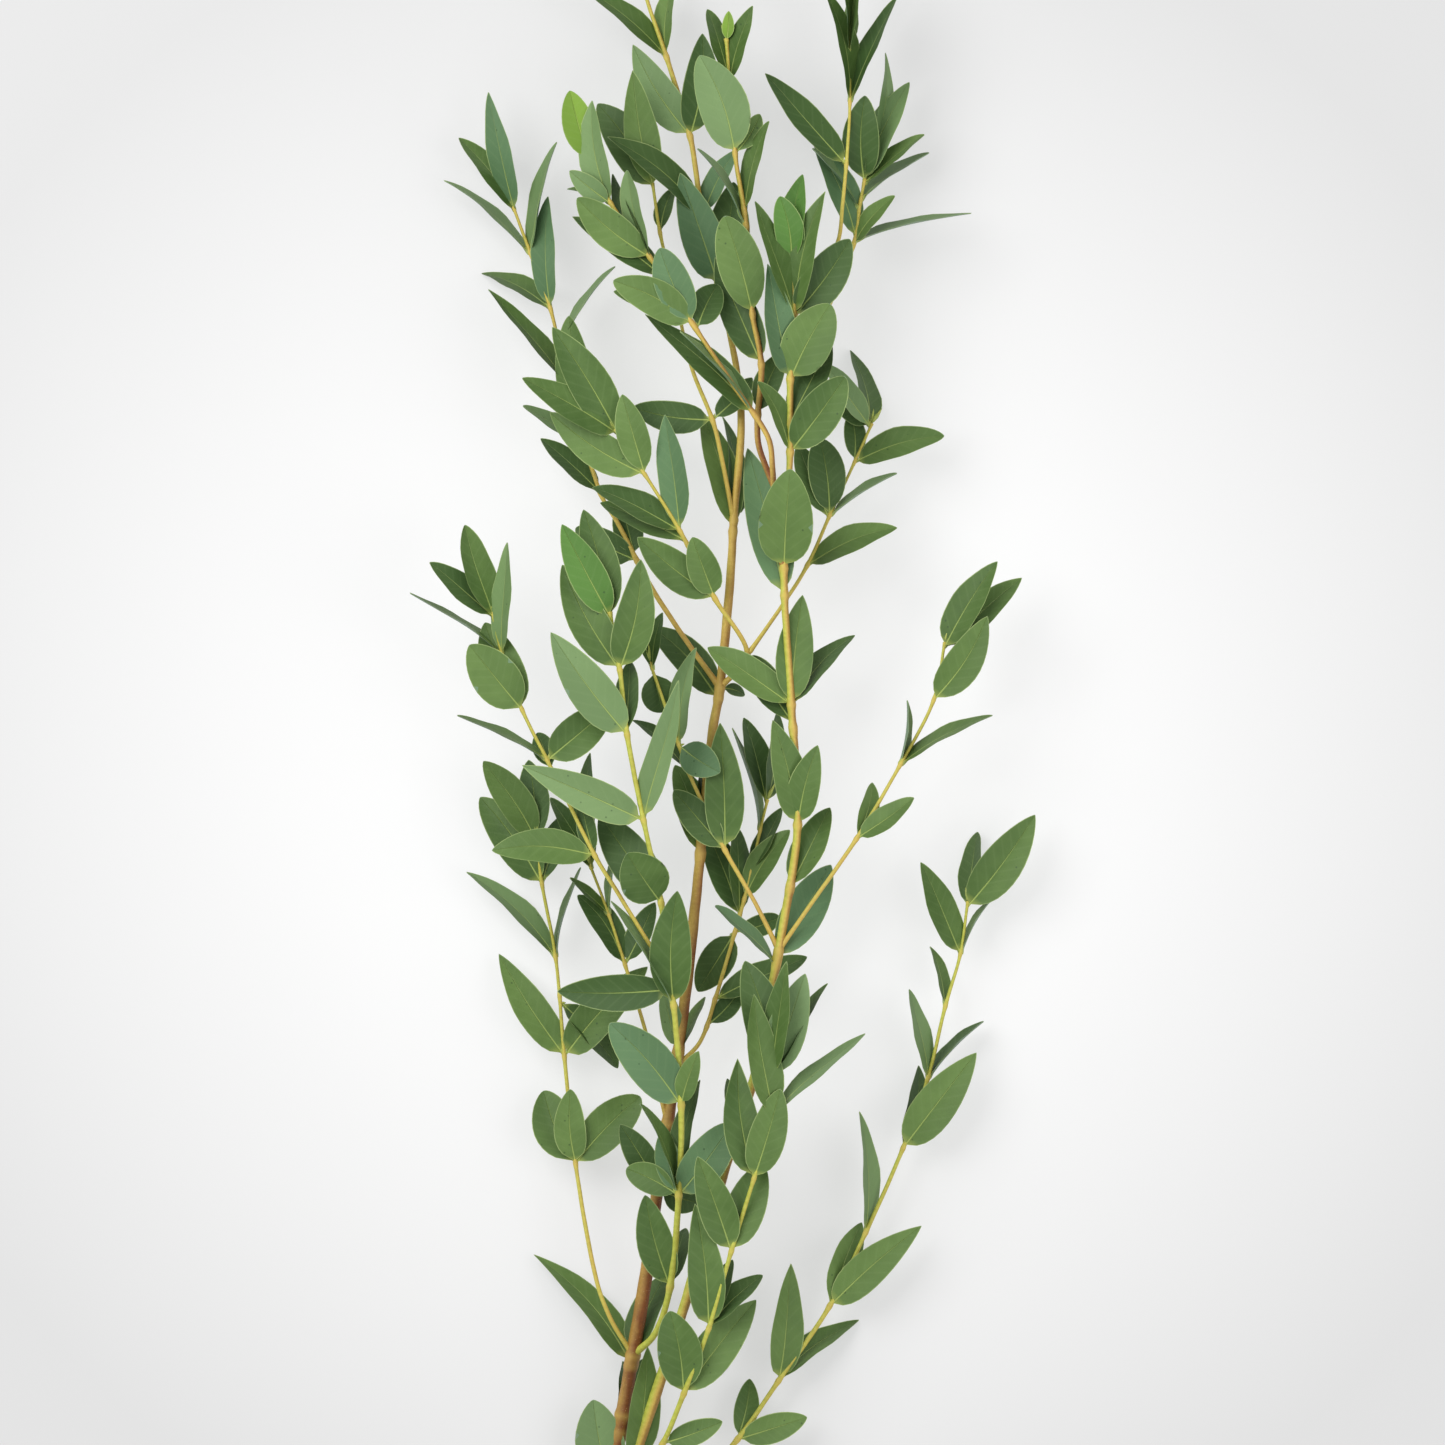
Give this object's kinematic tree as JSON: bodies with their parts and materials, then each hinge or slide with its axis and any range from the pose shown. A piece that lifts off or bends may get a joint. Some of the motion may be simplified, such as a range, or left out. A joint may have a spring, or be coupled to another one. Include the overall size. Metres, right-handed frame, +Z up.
{
  "type": "eucalyptus branch",
  "caption": "Cut small-leaved eucalyptus branch lying on a surface: a red-brown stem with leafy side twigs and paired grey-green leaves.",
  "frame": {"origin": "centre of the branch's footprint, on the surface that it lies on", "axes": "+Y along the branch from the cut end to the tips, +X to the right as seen from above, +Z up from the surface"},
  "size_m": [0.2504, 0.6806, 0.073],
  "materials": {
    "bark": "satin red-brown bark with pale dots",
    "leaf": "matte waxy grey-green leaf on a yellow-green twig"
  },
  "bodies": {
    "root": {"main_stem": "bark", "centre_left_leader": "leaf", "right_leader": "leaf", "front_low_twig": "leaf", "left_mid_twig": "leaf", "left_low_twig": "leaf", "right_low_twig": "leaf", "right_side_twig": "leaf", "inner_left_twig": "leaf", "upper_left_twig": "leaf", "right_thin_twig": "leaf", "far_left_twig": "leaf", "inner_up_twig": "leaf", "left_up_twig": "leaf", "up_leader": "leaf", "low_back_twig": "leaf", "mid_back_twig": "leaf", "top_right_twig": "leaf", "outer_right_twig": "leaf"}
  },
  "joints": []
}
